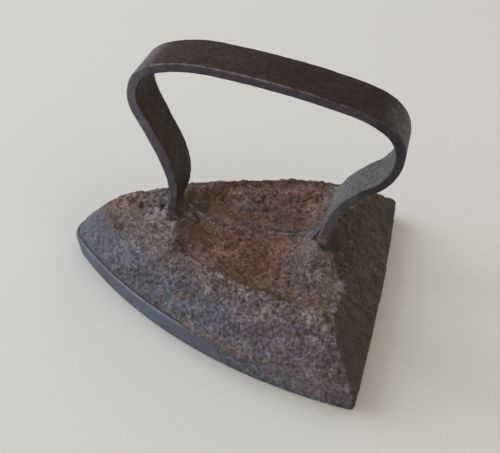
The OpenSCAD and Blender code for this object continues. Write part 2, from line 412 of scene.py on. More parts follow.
def body_material():
    s = Shader("pitted_rusty_iron")
    relief = s.painted("relief")
    cloud = s.noise(13, 3.1, detail=4)
    patch = s.noise(5, 7.7, detail=4)
    grain = s.noise(1.5, 1.9, detail=3)
    speck = s.noise(0.8, 5.3, detail=2)
    rim = s.mix(s.spread(patch, 0.40, 0.62), RIM_BROWN, SHOULDER_LILAC)
    colour = s.mix(s.painted("shoulder"), side_colour(s), rim)
    rust = s.mix(s.spread(cloud, 0.42, 0.62), RUST, ORANGE_RUST)
    rust = s.mix(s.spread(s.noise(10, 9.4, detail=4), 0.46, 0.64, 0.0, 0.5), rust, RIM_BROWN)
    stain = s.spread(s.noise(10, 5.8, detail=4), 0.38, 0.60, 0.15, 1.0)
    rust = s.mix(s.product(s.painted("hollow"), stain), rust, HOLLOW_RUST)
    rust = s.mix(s.where("red", patch, 0.36, 0.60), rust, RED_RUST)
    rust = s.mix(s.painted("umber"), rust, UMBER)
    rusty = s.painted("rusty")
    colour = s.mix(rusty, colour, rust)
    colour = s.mix(s.where("pink", patch, 0.34, 0.60, 0.35, 0.9), colour, RIM_PINK)
    colour = s.mix(s.painted("lower_rust"), colour, RIM_BROWN)
    # ochre rust, with painted shade under the near rim and behind the front foot
    colour = s.mix(s.where("ochre_and_shade", patch, 0.30, 0.55), colour, OCHRE)
    # the heel: brown rust with streaks, darkened as painted shade of faces turned from the lamp
    streak = s.noise(1.8, 2.2, detail=3, stretch=(5, 1, 5))
    brown = s.mix(s.spread(streak, 0.38, 0.62), HEEL_BROWN, HEEL_DARK)
    heel = s.painted("heel")
    colour = s.mix(heel, colour, brown)
    # painted shade behind the feet, in creases and on walls turned from the lamp, with dark rust in pits
    # and the crack
    colour = s.mix(s.painted("deep"), colour, DARK_RUST_AND_SHADE)
    # bare pale metal, with painted highlight along the crest and the rim
    colour = s.mix(s.where("bare_and_highlight", grain, 0.30, 0.60, 0.1, 0.85), colour, LILAC)
    # pale on raised points: wear, with painted highlight
    wear_and_highlight = s.product(s.spread(relief, 0.58, 1.0), s.spread(grain, 0.40, 0.60, 0.1, 0.8))
    wear_and_highlight = s.product(wear_and_highlight, s.spread(rusty, 0.0, 1.0, 0.85, 0.3))
    colour = s.mix(s.product(wear_and_highlight, s.spread(heel, 0.0, 1.0, 1.0, 0.2)), colour, LILAC)
    # dark in dips of the relief: dark rust in pits, with painted shade
    pit_rust_and_shade = s.mix(rusty, PIT_PURPLE, DARK_RUST_AND_SHADE)
    colour = s.mix(s.spread(relief, 0.42, 0.10, 0.0, 0.7), colour, pit_rust_and_shade)
    light = s.product(s.spread(grain, 0.34, 0.66, 0.67, 1.33), s.spread(speck, 0.34, 0.66, 0.70, 1.31))
    light = s.product(light, s.spread(cloud, 0.36, 0.64, 0.90, 1.11))
    light = s.product(light, s.spread(patch, 0.32, 0.68, 0.75, 1.24))
    colour = s.mix(s.product(s.painted("calm"), CALM_SHARE), s.shade(colour, light), colour)
    # painted shadow along the seam and where the handle's feet meet the body
    colour = s.mix(s.painted("seam"), colour, PAINTED_SHADOW_DARK)
    rough = s.spread(patch, 0.3, 0.7, 0.62, 0.85)
    height = s.total(s.product(grain, GRAIN_HEIGHT), s.product(speck, SPECK_HEIGHT))
    return s.finish(colour, rough, height, bump_size=0.65, specular=0.25)


# Amounts in the sole plate's material: grain everywhere, more where rough or mottled, dull heel
GRAIN_BASE = 0.5
GRAIN_ROUGH = 0.5
GRAIN_MOTTLED = 0.45
HEEL_DULLNESS = 0.35


def sole_material():
    s = Shader("worn_iron_band")
    relief = s.painted("relief")
    cloud = s.noise(12, 4.4, detail=4)
    patch = s.noise(4, 8.1, detail=4)
    grain = s.noise(1.4, 6.9, detail=4)
    band = s.mix(s.spread(cloud, 0.38, 0.62), STEEL_BLUE, NAVY)
    band = s.mix(s.spread(patch, 0.50, 0.70, 0.0, 0.55), band, PURPLE)
    mottled = s.painted("mottled")
    blotch = s.product(mottled, s.spread(s.noise(3.2, 2.9, detail=4), 0.40, 0.56, 0.0, 0.95))
    band = s.mix(blotch, band, BAND_PURPLE)
    band = s.mix(s.product(mottled, s.spread(grain, 0.52, 0.68, 0.0, 0.7)), band, PALE_BLUE)
    # painted highlight on the rounded lip
    band = s.mix(s.where("lip", patch, 0.30, 0.60, 0.3, 0.9), band, PALE_BLUE)
    rough_zone = s.painted("rough_zone")
    colour = s.mix(rough_zone, band, side_colour(s))
    # the heel: painted shade on faces turned from the lamp, and darker on the rear ledge
    heel = s.painted("heel")
    unheeled = s.spread(heel, 0.0, 1.0, 1.0, 0.1)
    colour = s.mix(heel, colour, HEEL_DARK)
    # lilac on raised points and dark in dips: wear and dark rust, with painted highlight and shade
    raised_wear_and_highlight = s.product(s.spread(relief, 0.62, 0.95, 0.0, 0.6), s.product(rough_zone, unheeled))
    colour = s.mix(raised_wear_and_highlight, colour, LILAC)
    colour = s.mix(s.product(s.spread(relief, 0.40, 0.05, 0.0, 0.7), rough_zone), colour, DARK_RUST_AND_SHADE)
    fine = s.spread(grain, 0.34, 0.66, 0.68, 1.36)
    grainy = s.total(s.product(rough_zone, GRAIN_ROUGH), s.product(mottled, GRAIN_MOTTLED))
    colour = s.mix(s.total(grainy, GRAIN_BASE), colour, s.shade(colour, fine))
    # painted shadow on the ledge along the seam
    colour = s.mix(s.painted("seam"), colour, PAINTED_SHADOW_DARK)
    rough = s.total(s.spread(patch, 0.3, 0.7, 0.45, 0.64), s.product(heel, HEEL_DULLNESS))
    return s.finish(colour, rough, grain, bump_size=0.25, specular=0.35)


# Amounts in the handle's material
MOTTLE_HALF = 0.5
EDGE_MOTTLE_FOOT = 0.6
EDGE_MOTTLE_BASE = 0.2
EDGE_EVENNESS = 0.75
STRAP_HEIGHT = 0.3


def strap_material():
    s = Shader("forged_strap")
    relief = s.painted("relief")
    edge = s.painted("edge")
    cloud = s.noise(11, 2.6, detail=4)
    patch = s.noise(3.5, 9.2, detail=5)
    scratch = s.noise(1.1, 4.8, detail=3, stretch=(14, 1, 14))
    grain = s.noise(0.9, 7.1, detail=3)
    flake = s.noise(1.8, 3.7, detail=3)
    mottle = s.total(s.product(cloud, MOTTLE_HALF), s.product(patch, MOTTLE_HALF))
    colour = s.mix(s.spread(mottle, 0.42, 0.58), STRAP_BROWN, STRAP_BLACK)
    colour = s.mix(s.where("olive", patch, 0.20, 0.75), colour, STRAP_OLIVE)
    colour = s.mix(s.painted("umber"), colour, STRAP_UMBER)
    foot_mottle = s.total(s.product(s.painted("foot"), EDGE_MOTTLE_FOOT), EDGE_MOTTLE_BASE)
    edge_mottle = s.product(s.spread(patch, 0.30, 0.70), foot_mottle)
    colour = s.mix(edge, colour, s.mix(edge_mottle, STRAP_VIOLET, STRAP_LILAC))
    # painted light: faces turned to the lamp, in a grey and sage tone
    grey_tone = s.mix(s.where("sage", cloud, 0.40, 0.58), STRAP_GREY, STRAP_SAGE)
    colour = s.mix(s.where("lit_grey", patch, 0.20, 0.70, 0.55, 1.0), colour, grey_tone)
    colour = s.mix(s.spread(scratch, 0.58, 0.74, 0.0, 0.22), colour, STRAP_OLIVE)
    crusty = s.mix(s.spread(patch, 0.40, 0.66), LILAC, STRAP_LILAC)
    colour = s.mix(s.where("crusty", cloud, 0.30, 0.60, 0.5, 1.0), colour, crusty)
    colour = s.mix(s.where("navy", patch, 0.30, 0.66, 0.95, 0.45), colour, STRAP_NAVY)
    # pale on the upper edges: wear, with painted highlight
    colour = s.mix(s.where("wear_and_highlight", patch, 0.34, 0.58, 0.15, 1.0), colour, LILAC)
    colour = s.mix(s.spread(relief, 0.40, 0.10, 0.0, 0.4), colour, PIT_DARK)
    even = s.product(edge, EDGE_EVENNESS)
    flaky = s.mix(even, s.spread(flake, 0.34, 0.66, 0.80, 1.22), s.spread(cloud, 0.3, 0.7, 0.9, 1.1))
    light = s.product(flaky, s.spread(grain, 0.34, 0.66, 0.84, 1.18))
    colour = s.shade(colour, light)
    rough = s.spread(patch, 0.3, 0.7, 0.42, 0.62)
    height = s.total(s.product(grain, STRAP_HEIGHT), s.product(scratch, STRAP_HEIGHT))
    return s.finish(colour, rough, height, bump_size=0.25, specular=0.10)


# The body: rough sides, broken rim, lumpy front platform, dished top

# sharp far edge of the rib along the dish, from the front foot to the rear foot
CREST = [(14, -5), (9, -1), (4, 1), (-2, 1.5), (-12, 1), (-29, 1), (-41, -2)]
# crease along the far foot of the rib
FAR_CREASE = [(-14, -2.5), (-22, -2.5), (-30, -2), (-38, -4)]
# upper edge of the heel, from the far side to the near side
HEEL_EDGE = [(-58, -42), (-51, -22), (-49.5, -8), (-51.5, 4), (-55, 12), (-59.5, 20), (-60, 30), (-61, 40)]
# break between the nose and the front platform, from the far side to the near side
NOSE_BREAK = [(39, -15.5), (46, -9), (51, 0), (47, 8)]
# crack across the front platform, and the pale ridge beside the front foot
PLATFORM_CRACK = [(45.5, 0.0), (45.0, 2.5), (44.9, 6.0), (44.0, 9.8), (40.5, 11.0)]
PALE_RIDGE = [(25.6, 3.0), (25.0, 7.3), (24.8, 11.8)]
# lumps on the front platform: place, radius, height
PLATFORM_LUMPS = [
    ((25, 9), 4.5, 1.3),
    ((22, 4.5), 3.0, 1.0),
    ((34, -5), 6.0, 1.3),
    ((44, 3), 5.0, 1.0),
    ((29, 13), 5.0, 0.8),
    ((36, 8), 4.0, 0.7),
    ((24, -9), 5.0, 1.0),
    ((56, 3), 4.0, 0.9),
]
# metal that climbs the feet of the handle, and the hollow behind the rear foot: place, radius, height
FOOT_MOUNDS = [
    ((18.7, 0), 4.5, 1.0),
    ((-42.0, 1), 4.0, 0.7),
    ((-43.8, 5.5), 3.8, 2.0),
    ((-51.2, 1.5), 3.2, -2.8),
]
# painted shadow where the feet of the handle meet the body: place, radius
FOOT_SHADES = [
    ((-51.0, 2.5), 2.6),
    ((-51.6, -2.0), 2.8),
    ((-51.4, -6.5), 2.6),
    ((-47.6, 6.2), 1.9),
    ((-49.6, 6.2), 1.6),
    ((18.7, 6.3), 1.4),
    ((15.6, 3.0), 2.0),
]
# pits on the front platform: place, radius, depth
PLATFORM_PITS = [
    ((35.0, 0.6), 1.3, 2.4),
    ((25.3, -0.7), 1.5, 1.6),
    ((29, 4.5), 1.1, 0.9),
    ((40, -1), 1.2, 0.8),
    ((24.5, 3.0), 1.0, 1.0),
]
# dark ochre patches along the near rim and at the front of the far hollow: ochre rust, with painted shade
# under the rim and behind the front foot; place, radius
OCHRE_PATCHES = [
    ((-13, 27), 4.5),
    ((-21, 29.5), 5.0),
    ((-30, 31), 4.0),
    ((16, -14.5), 4.0),
    ((5, -10), 3.5),
]
# red patches in the hollows and on the front platform: place, radius
PLATFORM_RED = ((41, 0.8), 2.2)
RED_PATCHES = [((-10, 8), 8.0), ((-30, 14), 6.0), ((-33, 20), 4.0), ((-8, -6), 3.0), PLATFORM_RED]
# pale pink patches in the hollows: place, radius
PINK_PATCHES = [((-6, -18), 4.5), ((-40, 22), 6.0), ((-36, 12), 4.0)]
# smooth places in the hollows, on the front platform and by the rear foot: place, radius
CALM_PLACES = [((9, 8), 5.0), ((7, -9), 6.0), ((25.0, 8.0), 4.0), ((-43.4, 5.0), 4.0)]
# brown corners of the hollows and of the near rim: place, radius
UMBER_PATCHES = [
    ((8, 8), 5.5),
    ((2, -9), 5.0),
    ((-10, -7), 3.5),
    ((12, -15), 6.0),
    ((13.5, -4), 4.0),
    ((3, -19), 5.0),
    ((-40, 30.5), 3.5),
    ((-49, 32), 4.0),
]
# bare metal by the feet, and a speck of it on the heel: place, radius, how pale
PALE_PLACES = [
    ((-43.4, 4.5), 4.5, 0.9),
    ((-43, 13), 7, 0.3),
    ((25, 8), 5, 1.8),
    ((-55, 3), 0.9, 1.0),
]
# dark places on the top, mostly painted shade behind the feet of the handle: place, radius, how dark
DEEP_PLACES = [
    ((-51.4, 2.5), 4.2, 1.0),
    ((17, -10), 5.0, 1.0),
    ((15.5, -4), 3.5, 0.9),
    ((10, -6), 4, 0.5),
    ((9, 8), 5, 0.35),
    ((48, -11), 6, 0.35),
]
# arc of the long sides: its radius, the place of its middle, and how far in the rim is
SIDE_RADIUS = 235.7
SIDE_MIDDLE = (-72.15, -179.7)
RIM_INSET = 17.5
# how fast the rim falls towards the heel
RIM_SLOPE = 0.027
# metal closed up round the feet of the handle: lowest and highest corners
FOOT_FILLINGS = [((15.8, -6.2, 28.0), (21.6, 6.2, 35.6)), ((-50.2, -6.2, 26.0), (-44.4, 6.2, 33.6))]
# steps of the web that leans on the front of the rear leg: how far forward, half width, height
REAR_WEB = [
    (-46.2, 1.6, 42.6),
    (-45.7, 2.0, 41.0),
    (-45.2, 2.4, 39.6),
    (-44.6, 2.8, 38.4),
    (-44.0, 3.2, 37.2),
    (-43.4, 3.6, 36.0),
    (-42.8, 4.0, 34.8),
    (-42.2, 4.4, 33.8),
]
WEB_BACK = -47.3
WEB_LOW = 29.0
WEB_MIDDLE = 0.6
BODY_VOXEL = 0.4
BODY_SMOOTHING = 5

# how far the heel's edge wanders, and the heights over which the line of the rim fades in
HEEL_EDGE_WANDER = 1.6
RIM_LINE_HEIGHT = (RIM_Z - 6, RIM_Z - 4)


class Zones:
    """Where the points of a piece lie: one value for each point, by name."""


def body_zones(points, normal):
    b = Zones()
    b.points, b.normal = points, normal
    b.x, b.y, b.z = points.T
    up = normal[:, 2]
    b.above = ease(SOLE_TOP + 0.6, SOLE_TOP + 2.5, b.z)
    b.top = ease(0.62, 0.85, up) * ease(RIM_Z - 12, RIM_Z - 6, b.z)
    heel_edge = np.interp(b.y, [e[1] for e in HEEL_EDGE], [e[0] for e in HEEL_EDGE])
    heel_edge += HEEL_EDGE_WANDER * lumps(points, size=5, seed=25)
    # the heel: the top behind its edge and the faces turned from the lamp, whose colour is darkened as
    # painted shade
    behind = ease(1.5, -1.5, b.x - heel_edge) * ease(0.68, 0.78, up)
    slope = ease(-0.08, -0.35, normal[:, 0]) * ease(0.84, 0.72, up)
    b.heel = np.maximum(slope, behind) * ease(-44, -49, b.x)
    b.side = (1 - b.top) * (1 - b.heel) * b.above
    b.depth = RIM_Z - RIM_SLOPE * (FRONT_FOOT_X - b.x) - b.z
    rim_half = np.sqrt((SIDE_RADIUS - RIM_INSET) ** 2 - (b.x - SIDE_MIDDLE[0]) ** 2) + SIDE_MIDDLE[1]
    b.within = rim_half - np.abs(b.y)
    b.inside = ease(-0.5, 1.5, b.within) * ease(RIM_Z - 9, RIM_Z - 7, b.z)
    b.near = ease(1, 5, b.y)
    b.between_feet = window(-46, -38, 2, 10, b.x)
    b.rim_line = window(-2.2, -0.4, 0.2, 1.6, b.within) * window(-48, -40, 16, 24, b.x)
    return b


# Lines on the body: how wide, and how far they rise or fall
NOSE_BREAK_WIDTH, NOSE_BREAK_FALL = 1.2, 1.8
CRACK_WIDTH, CRACK_FALL = 1.2, 1.6
PALE_RIDGE_WIDTH, PALE_RIDGE_RISE = 1.5, 0.8
CREST_WIDTH, CREST_RISE = 1.4, 1.7
FAR_CREASE_WIDTH, FAR_CREASE_FALL = 1.3, 0.9
RIM_LINE_RISE = 0.7
# near hollow filled up towards the front foot, as a share of its depth
RAMP_SHARE = 0.40
# far hollow deepened behind the front foot
POCKET_FALL = 2.0
# both hollows deepened beside the rim
HOLLOW_FALL = 1.7
# metal that has run over the seam, and its torn lower edge
FLUSH_SWELL = 0.9
FLUSH_FOOT_SWELL = 0.4
TORN_SWELL, TORN_CHANGE = 0.4, 0.7
# faces less upright than this are swollen less
LEAST_LEVEL = 0.3
# hammer strokes, drawn out upwards
STROKE_STRETCH = np.array([1, 1, 0.35])
# the fuller nose
NOSE_SWELL = 1.5


def shape_body(b):
    """Gives the body its lumps, creases and hollows, its run-over seam and its full nose."""
    points, normal = b.points, b.normal
    rise = hills(points, PLATFORM_LUMPS + FOOT_MOUNDS) - hills(points, PLATFORM_PITS)
    b.nose_crease = ribbon(points, NOSE_BREAK, NOSE_BREAK_WIDTH)
    b.nose_crease *= uneven(points, mean=0.7, change=0.5, size=6, seed=21)
    rise -= NOSE_BREAK_FALL * b.nose_crease
    b.crack = ribbon(points, PLATFORM_CRACK, CRACK_WIDTH)
    b.crack *= 0.5 + 0.5 * ease(-0.4, 0.3, lumps(points, size=5, seed=22))
    rise -= CRACK_FALL * b.crack
    b.pale_ridge = ribbon(points, PALE_RIDGE, PALE_RIDGE_WIDTH)
    rise += PALE_RIDGE_RISE * b.pale_ridge
    b.crest = ribbon(points, CREST, CREST_WIDTH)
    b.crest *= uneven(points, mean=0.85, change=0.4, size=7, seed=23)
    rise += CREST_RISE * b.crest
    b.far_crease = ribbon(points, FAR_CREASE, FAR_CREASE_WIDTH)
    rise -= FAR_CREASE_FALL * b.far_crease
    ramp = RAMP_SHARE * b.near * window(-2, 8, 12, 17, b.x)
    rise += b.inside * np.maximum(b.depth, 0) * ramp
    pocket = ease(-1, -5, b.y) * window(5, 10, 15, 17.5, b.x) * ease(3, 7, b.within)
    rise -= POCKET_FALL * pocket
    rise -= HOLLOW_FALL * b.between_feet * window(0.3, 3.0, 6, 13, b.within)
    rise += RIM_LINE_RISE * b.rim_line * ease(*RIM_LINE_HEIGHT, b.z)
    points[:, 2] += rise * ease(0.35, 0.6, normal[:, 2])

    level = np.linalg.norm(normal[:, :2], axis=1)
    outward = normal[:, :2] / np.maximum(level, LEAST_LEVEL)[:, None]
    flush = ease(4, -4, b.x) * ease(SOLE_TOP + 5, SOLE_TOP + 1.2, b.z) * ease(0.3, 0.5, level)
    b.torn = flush * ease(-40, -28, b.x) * ease(SOLE_TOP + 6, SOLE_TOP + 2, b.z)
    b.strokes = lumps(points * STROKE_STRETCH, size=1.8, seed=45)
    swell = FLUSH_SWELL * flush + b.torn * (TORN_SWELL + TORN_CHANGE * b.strokes)
    swell += FLUSH_FOOT_SWELL * flush * ease(SOLE_TOP + 0.9, SOLE_TOP, b.z)
    points[:, :2] += outward * swell[:, None]
    b.nose = window(34, 46, 64, 73, b.x)
    points += normal * (NOSE_SWELL * b.nose * b.above)[:, None]


# Roughness of the body: heights of its lumps, scales and grain, and how much of it each zone has
BROAD_ROUGH, MIDDLE_ROUGH = 0.7, 0.55
SCALE_HEIGHT, SCALE_HEIGHT_TOP = 0.26, 0.26
GRIT_HEIGHT, GRIT_HEIGHT_TOP = 0.40, 0.10
PATCHY_BASE, PATCHY_CHANGE = 0.6, 0.7
SIDE_AMOUNT, HEEL_AMOUNT = 1.05, 0.5
HEEL_STREAK_HEIGHT = 0.22
HEEL_STREAK_STRETCH = np.array([0.3, 1, 0.3])
STROKE_HEIGHT = 0.30
# how far smooth places, the nose and the heel are smoothed
CALMING = 0.6
NOSE_CALMING = 0.35
NOSE_CALM, HEEL_CALM = 0.55, 0.4


def roughen_body(b):
    """Covers the body with lumps, scales and grit."""
    points = b.points
    patchy = PATCHY_BASE + PATCHY_CHANGE * ease(-0.4, 0.5, lumps(points, size=11, seed=37))
    rough = BROAD_ROUGH * lumps(points, size=16, seed=31) + MIDDLE_ROUGH * lumps(points, size=8, seed=35)
    scales = (SCALE_HEIGHT + SCALE_HEIGHT_TOP * b.top) * crust(points, size=4.5, seed=41)
    grit = fractal(points, size=2.4, seed=61, gain=0.7)
    b.scale = patchy * (scales + (GRIT_HEIGHT + GRIT_HEIGHT_TOP * b.top) * grit)
    rough += b.scale
    streaks = HEEL_STREAK_HEIGHT * lumps(points * HEEL_STREAK_STRETCH, size=1.6, seed=71)
    calm = spots(points, CALM_PLACES) + NOSE_CALM * ease(44, 51, b.x) + HEEL_CALM * b.heel
    b.calm = np.minimum(1, calm)
    amount = b.above * (b.top + SIDE_AMOUNT * b.side + HEEL_AMOUNT * b.heel)
    amount *= (1 - NOSE_CALMING * b.nose) * (1 - CALMING * b.calm)
    out = rough * amount + streaks * b.heel * b.above + STROKE_HEIGHT * b.strokes * b.side
    points += b.normal * out[:, None]


# how far the blue-grey of the sides wanders
BLUE_WANDER = 24


def blue_share(points):
    """How much of the rough sides is blue-grey rather than purple."""
    return ease(-42, 6, points[:, 0] + BLUE_WANDER * fractal(points, size=12, seed=85, octaves=2))


# Rust on the body, with painted shade in ochre
SHOULDER_SHARE, SHOULDER_WANDER = 0.85, 3
RUST_DEPTH_WANDER = 1.5
RUST_WITHIN_WANDER = 0.8
TORN_RUST = 0.7
UMBER_RUST, PLATFORM_RUST = 0.8, 0.9
PINK_RIM, PINK_PATCH = 0.8, 1.2
LOWER_RUST = 0.6
# ochre on the near rim's inner wall, as painted shade
OCHRE_RIM = 0.6


def paint_rust(piece, b):
    """Where the body is rusty, and in which of the rust's colours; the ochre also carries painted shade.
    """
    points = b.points
    shoulder = ease(RIM_Z - 9, RIM_Z - 3, b.z + SHOULDER_WANDER * b.ragged)
    paint(piece, "shoulder", np.maximum(b.top, SHOULDER_SHARE * shoulder))
    dish = b.top * ease(-0.6, 2.2, b.depth + RUST_DEPTH_WANDER * b.ragged) * ease(-52, -42, b.x)
    beside_rim = b.between_feet * ease(0.4, 2.2, b.within + RUST_WITHIN_WANDER * b.ragged)
    beside_rim *= ease(9, 5, b.within)
    torn = TORN_RUST * b.torn * ease(-0.3, 0.4, b.ragged) * ease(-34, -20, b.x)
    umber = b.inside * spots(points, UMBER_PATCHES)
    platform = PLATFORM_RUST * bump(points, *PLATFORM_RED)
    paint(piece, "rusty", np.maximum.reduce([dish, beside_rim, torn, UMBER_RUST * umber, platform]))
    paint(piece, "hollow", b.top * ease(0.5, 4.5, b.depth) * ease(-44, -28, b.x))
    pink = PINK_RIM * window(-4.5, -1.5, 0.2, 1.2, b.within) * ease(RIM_Z - 8, RIM_Z - 5, b.z)
    paint(piece, "pink", pink + PINK_PATCH * b.inside * spots(points, PINK_PATCHES))
    paint(piece, "lower_rust", LOWER_RUST * b.side * ease(SOLE_TOP + 4.0, SOLE_TOP + 1.5, b.z + b.ragged))
    # painted shade in ochre on the near rim's inner wall
    rim = OCHRE_RIM * b.near * window(0.4, 1.4, 2.5, 5, b.within) * window(-34, -26, 8, 14, b.x)
    paint(piece, "ochre_and_shade", (spots(points, OCHRE_PATCHES) + rim) * b.inside)
    paint(piece, "red", b.inside * spots(points, RED_PATCHES))
    paint(piece, "umber", umber)


# Bare, pale metal on the body, and painted highlights along the crest and the rim
# painted highlight along the rim line
RIM_LINE_PALE = 0.1
NOSE_PALE = 0.12
# painted highlight along the crest
CREST_PALE = 0.8
RIDGE_PALE = 1.4
WEB_PALE = 0.7
REAR_SHOULDER_PALE = 0.85
FRONT_SIDE_PALE = 0.12


def paint_pale(piece, b):
    """Where the body is pale: bare metal on ridges, the web and parts of the sides, and painted highlight
    along the crest and the rim.
    """
    points = b.points
    rim_line = b.rim_line * ease(*RIM_LINE_HEIGHT, b.z)
    ridge = hills(points, PALE_PLACES)
    # painted highlight along the rim line and, below, along the crest
    ridge += RIM_LINE_PALE * rim_line + NOSE_PALE * ease(30, 45, b.x)
    unbroken = np.maximum(ease(-6, 3, b.x), ease(0.0, 0.6, b.ragged))
    ridge += CREST_PALE * b.crest * unbroken + RIDGE_PALE * b.pale_ridge
    web = bump(points, (-44.5, 1), 4.0) * ease(RIM_Z - 1.5, RIM_Z + 1.5, b.z)
    shoulder = window(-8.5, -5, -1.5, 0.5, b.within) * window(-62, -54, -12, 2, b.x)
    shoulder *= REAR_SHOULDER_PALE * (1 - b.heel) * ease(-0.5, 0.5, b.ragged)
    front = FRONT_SIDE_PALE * b.side * window(-5, 8, 38, 48, b.x) * ease(-0.4, 0.4, b.ragged)
    bare_side = WEB_PALE * web + shoulder + front
    paint(piece, "bare_and_highlight", np.maximum(np.maximum(b.top, rim_line) * ridge, bare_side))


# Dark places on the body, mostly painted shade
SEAM_RUN = (-4, 2)
SEAM_SHARE = 0.8
HEEL_CORNER_SHADE = 0.5
# painted shade along the far crease; the far rim darker
FAR_CREASE_DEEP = 0.5
FAR_RIM_DEEP = 0.55
PIT_SIZE = 1.1
NOSE_CREASE_DEEP, CRACK_DEEP = 0.7, 0.9
CORNER_DEEP = 0.5
# painted shade on the hollows' front walls, turned from the lamp
FRONT_WALL_DEEP = 0.6


def paint_dark(piece, b):
    """Where the body is dark: painted shadow along the seam and at the feet, painted shade in creases and
    on walls turned from the lamp, darker corners, and dark rust in pits and the crack.
    """
    points = b.points
    # painted shadow along the seam, round the feet of the handle and at the heel's near corner
    seam = SEAM_SHARE * ease(SOLE_TOP + 1.1, SOLE_TOP + 0.4, b.z) * ease(*SEAM_RUN, b.x)
    heel_corner = HEEL_CORNER_SHADE * b.heel * ease(28, 40, b.y)
    paint(piece, "seam", seam + spots(points, FOOT_SHADES) + heel_corner)
    far_rim = ease(2.5, 0.5, b.within) * ease(-6, -12, b.y) * ease(*RIM_LINE_HEIGHT, b.z)
    # painted shade along the far crease and behind the feet; pits darker
    deep = FAR_CREASE_DEEP * b.far_crease + FAR_RIM_DEEP * far_rim
    deep += hills(points, DEEP_PLACES)
    deep += spots(points, [(place, PIT_SIZE * radius) for place, radius, fall in PLATFORM_PITS])
    corner = CORNER_DEEP * b.side * ease(-54, -64, b.x)
    # painted shade on the hollows' front walls, which turn from the lamp
    wall = FRONT_WALL_DEEP * b.inside * ease(-0.10, -0.32, b.normal[:, 0])
    wall *= window(4, 8, 16, 19, b.x)
    creases = [NOSE_CREASE_DEEP * b.nose_crease, CRACK_DEEP * b.crack]
    paint(piece, "deep", np.maximum.reduce([b.top * deep, *creases, corner, wall]))


def make_body():
    web_steps = [
        ((WEB_BACK, WEB_MIDDLE - half, WEB_LOW), (forward, WEB_MIDDLE + half, height))
        for forward, half, height in REAR_WEB
    ]
    piece = dense_copy("iron_body", "rough_body", BODY_VOXEL, BODY_SMOOTHING, FOOT_FILLINGS + web_steps)
    b = body_zones(read_points(piece, "co") / MM, read_points(piece, "normal"))
    shape_body(b)
    roughen_body(b)
    move_points(piece, b.points)
    b.ragged = fractal(b.points, size=7, seed=27)
    stands_out = RELIEF_SPREAD * (1 - CALMING * b.calm) * (b.scale - b.scale.mean()) / b.scale.std()
    paint(piece, "relief", RELIEF_LEVEL + stands_out)
    paint(piece, "calm", b.calm)
    paint(piece, "blue", blue_share(b.points))
    paint(piece, "heel", b.heel)
    paint_rust(piece, b)
    paint_pale(piece, b)
    paint_dark(piece, b)
    settle(piece, "iron_body", body_material())


# The sole plate: a smooth band that goes rough towards the heel, flat underneath

SOLE_STEP = 0.5
LOWER_EDGE_RADIUS = 0.9
REAR_LIP_RADIUS = 0.25
FRONT_LIP_RADIUS = 1.1
ROUND_POINTS = 6
# how far in the top and bottom faces are meshed before a single face fills them
FACE_MARGIN = 3.0
FIRST_MARGIN = 0.2
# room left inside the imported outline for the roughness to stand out
SOLE_ROOM = 0.3
# upper edge of the smooth band: over the plate's top at the front, falling in two steps to the heel
SMOOTH_OVER = 1
SMOOTH_FALL = 9
SMOOTH_REAR_FALL = 1.6
SMOOTH_WANDER, SMOOTH_RAGGED = 1.3, 1.8
SMOOTH_BLUR = 0.8
RAGGED_STRETCH = np.array([1, 1, 0.5])
# how dark the sides go near the heel
PLATE_HEEL_TINT = 0.28
# how rough the wall is: heights of its scales, strokes and gentle lumps, and each zone's share
WALL_SCALES, WALL_STROKES = 0.22, 0.45
WALL_STRETCH = np.array([1, 1, 0.4])
GENTLE_BROAD, GENTLE_FINE = 0.16, 0.04
HEEL_SMOOTHING, HEEL_ROUGH, MOTTLED_ROUGH = 0.6, 0.3, 0.4
# the ledge looks straight up, the lip less so
LEDGE_TILT = 0.97


def sole_outline():
    """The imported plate's plan, anticlockwise, with points at even steps."""
    co = np.array([v.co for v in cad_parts["sole_plate"].data.vertices]) / MM
    plan = np.unique(co[:, :2].round(3), axis=0)
    plan = plan[np.argsort(np.arctan2(plan[:, 1], plan[:, 0]))]
    return evenly(plan, SOLE_STEP, closed=True)


def sole_profile(lip):
    """Rows of (inset, height) from the middle of the bottom, up the edge, to the middle of the top.

    Lip is the radius of the upper edge at each point of the outline."""
    quarter = np.linspace(0, math.pi / 2, ROUND_POINTS)
    low, none = LOWER_EDGE_RADIUS, np.zeros_like(lip)
    lower = [(low * (1 - math.sin(a)) + none, low * (1 - math.cos(a)) + none) for a in quarter]
    wall_rows = int(SOLE_TOP / SOLE_STEP)
    wall = [(none, low + (SOLE_TOP - lip - low) * t) for t in np.linspace(0, 1, wall_rows)[1:-1]]
    upper = [(lip * (1 - math.cos(a)), SOLE_TOP - lip * (1 - math.sin(a))) for a in quarter]
    bottom = [(low + margin + none, none) for margin in (FACE_MARGIN, FIRST_MARGIN)]
    top = [(lip + margin, SOLE_TOP + none) for margin in (FIRST_MARGIN, FACE_MARGIN / 2, FACE_MARGIN)]
    return bottom + lower + wall + upper + top


